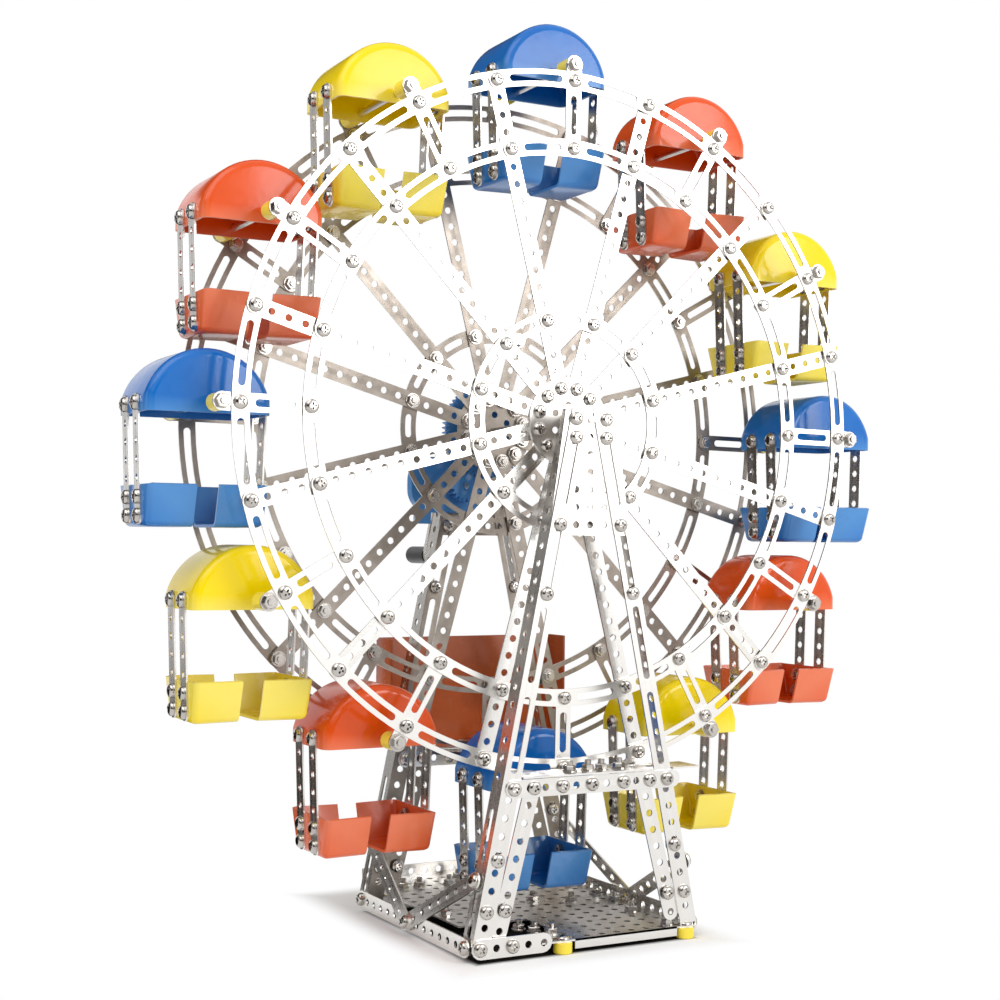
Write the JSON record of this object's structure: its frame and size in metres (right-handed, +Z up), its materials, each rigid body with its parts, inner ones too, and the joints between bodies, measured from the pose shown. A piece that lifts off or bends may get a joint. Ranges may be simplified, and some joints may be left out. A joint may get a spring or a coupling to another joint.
{
  "type": "crank ferris wheel toy",
  "caption": "Hand-cranked toy ferris wheel built of perforated metal strips, with hanging plastic cars, two trapezoid towers, a base of plates and a geared crank.",
  "frame": {"origin": "on the ground, in the middle of the part's width and depth; the wheel's middle plane is 23.9 mm in front of it", "axes": "+Z up, +Y along the axle from the front of the wheel to the crank at the back, +X to the right seen from the front"},
  "size_m": [0.4926, 0.2002, 0.54],
  "materials": {
    "nickel_steel": "bright nickel plate",
    "blue_plastic": "gloss",
    "yellow_plastic": "gloss",
    "red_plastic": "gloss",
    "brass": "satin",
    "black_plastic": "gloss"
  },
  "bodies": {
    "stand": {"legs": "nickel_steel", "top_plates": "nickel_steel", "platforms": "nickel_steel", "stays": "nickel_steel", "base_plates": "nickel_steel", "edge_strips": "nickel_steel", "braces": "nickel_steel", "feet": "yellow_plastic", "crank_housing": "blue_plastic", "rear_screen": "red_plastic"},
    "wheel": {"front_spokes": "nickel_steel", "front_hangers": "nickel_steel", "front_rings": "nickel_steel", "back_spokes": "nickel_steel", "back_hangers": "nickel_steel", "back_rings": "nickel_steel", "hub_discs": "nickel_steel", "wheel_axle": "nickel_steel", "car_axles": "nickel_steel", "drive_gear": "blue_plastic"},
    "crank": {"crank_pinion": "brass", "crank_handle": "nickel_steel"},
    "knob": {"crank_knob": "black_plastic"},
    "car_01": {"car_01_roof": "blue_plastic", "car_01_straps": "nickel_steel", "car_01_seats": "blue_plastic"},
    "car_02": {"car_02_roof": "yellow_plastic", "car_02_straps": "nickel_steel", "car_02_seats": "yellow_plastic"},
    "car_03": {"car_03_roof": "red_plastic", "car_03_straps": "nickel_steel", "car_03_seats": "red_plastic"},
    "car_04": {"car_04_roof": "blue_plastic", "car_04_straps": "nickel_steel", "car_04_seats": "blue_plastic"},
    "car_05": {"car_05_roof": "yellow_plastic", "car_05_straps": "nickel_steel", "car_05_seats": "yellow_plastic"},
    "car_06": {"car_06_roof": "red_plastic", "car_06_straps": "nickel_steel", "car_06_seats": "red_plastic"},
    "car_07": {"car_07_roof": "blue_plastic", "car_07_straps": "nickel_steel", "car_07_seats": "blue_plastic"},
    "car_08": {"car_08_roof": "yellow_plastic", "car_08_straps": "nickel_steel", "car_08_seats": "yellow_plastic"},
    "car_09": {"car_09_roof": "red_plastic", "car_09_straps": "nickel_steel", "car_09_seats": "red_plastic"},
    "car_10": {"car_10_roof": "blue_plastic", "car_10_straps": "nickel_steel", "car_10_seats": "blue_plastic"},
    "car_11": {"car_11_roof": "yellow_plastic", "car_11_straps": "nickel_steel", "car_11_seats": "yellow_plastic"},
    "car_12": {"car_12_roof": "red_plastic", "car_12_straps": "nickel_steel", "car_12_seats": "red_plastic"}
  },
  "joints": [
    {"name": "wheel_spin", "type": "hinge", "parent": "stand", "child": "wheel", "pos_m": [0, -0.02388, 0.3], "axis": [0, 1, 0], "continuous": true},
    {"name": "crank_turn", "type": "hinge", "parent": "stand", "child": "crank", "pos_m": [-0.0152, 0.04612, 0.26517], "axis": [0, 1, 0], "continuous": true},
    {"name": "knob_spin", "type": "hinge", "parent": "crank", "child": "knob", "pos_m": [-0.02433, 0.07612, 0.22111], "axis": [0, 1, 0], "continuous": true},
    {"name": "car_01_swing", "type": "hinge", "parent": "wheel", "child": "car_01", "pos_m": [0.00249, -0.02388, 0.50999], "axis": [0, 1, 0], "continuous": true},
    {"name": "car_02_swing", "type": "hinge", "parent": "wheel", "child": "car_02", "pos_m": [-0.10283, -0.02388, 0.4831], "axis": [0, 1, 0], "continuous": true},
    {"name": "car_03_swing", "type": "hinge", "parent": "wheel", "child": "car_03", "pos_m": [-0.18061, -0.02388, 0.40715], "axis": [0, 1, 0], "continuous": true},
    {"name": "car_04_swing", "type": "hinge", "parent": "wheel", "child": "car_04", "pos_m": [-0.20999, -0.02388, 0.30249], "axis": [0, 1, 0], "continuous": true},
    {"name": "car_05_swing", "type": "hinge", "parent": "wheel", "child": "car_05", "pos_m": [-0.1831, -0.02388, 0.19717], "axis": [0, 1, 0], "continuous": true},
    {"name": "car_06_swing", "type": "hinge", "parent": "wheel", "child": "car_06", "pos_m": [-0.10715, -0.02388, 0.11939], "axis": [0, 1, 0], "continuous": true},
    {"name": "car_07_swing", "type": "hinge", "parent": "wheel", "child": "car_07", "pos_m": [-0.00249, -0.02388, 0.09001], "axis": [0, 1, 0], "continuous": true},
    {"name": "car_08_swing", "type": "hinge", "parent": "wheel", "child": "car_08", "pos_m": [0.10283, -0.02388, 0.1169], "axis": [0, 1, 0], "continuous": true},
    {"name": "car_09_swing", "type": "hinge", "parent": "wheel", "child": "car_09", "pos_m": [0.18061, -0.02388, 0.19285], "axis": [0, 1, 0], "continuous": true},
    {"name": "car_10_swing", "type": "hinge", "parent": "wheel", "child": "car_10", "pos_m": [0.20999, -0.02388, 0.29751], "axis": [0, 1, 0], "continuous": true},
    {"name": "car_11_swing", "type": "hinge", "parent": "wheel", "child": "car_11", "pos_m": [0.1831, -0.02388, 0.40283], "axis": [0, 1, 0], "continuous": true},
    {"name": "car_12_swing", "type": "hinge", "parent": "wheel", "child": "car_12", "pos_m": [0.10715, -0.02388, 0.48061], "axis": [0, 1, 0], "continuous": true}
  ],
  "couplings": [
    {"joint": "crank_turn", "follows": "wheel_spin", "ratio": -3},
    {"joint": "car_01_swing", "follows": "wheel_spin", "ratio": -1},
    {"joint": "car_02_swing", "follows": "wheel_spin", "ratio": -1},
    {"joint": "car_03_swing", "follows": "wheel_spin", "ratio": -1},
    {"joint": "car_04_swing", "follows": "wheel_spin", "ratio": -1},
    {"joint": "car_05_swing", "follows": "wheel_spin", "ratio": -1},
    {"joint": "car_06_swing", "follows": "wheel_spin", "ratio": -1},
    {"joint": "car_07_swing", "follows": "wheel_spin", "ratio": -1},
    {"joint": "car_08_swing", "follows": "wheel_spin", "ratio": -1},
    {"joint": "car_09_swing", "follows": "wheel_spin", "ratio": -1},
    {"joint": "car_10_swing", "follows": "wheel_spin", "ratio": -1},
    {"joint": "car_11_swing", "follows": "wheel_spin", "ratio": -1},
    {"joint": "car_12_swing", "follows": "wheel_spin", "ratio": -1}
  ]
}
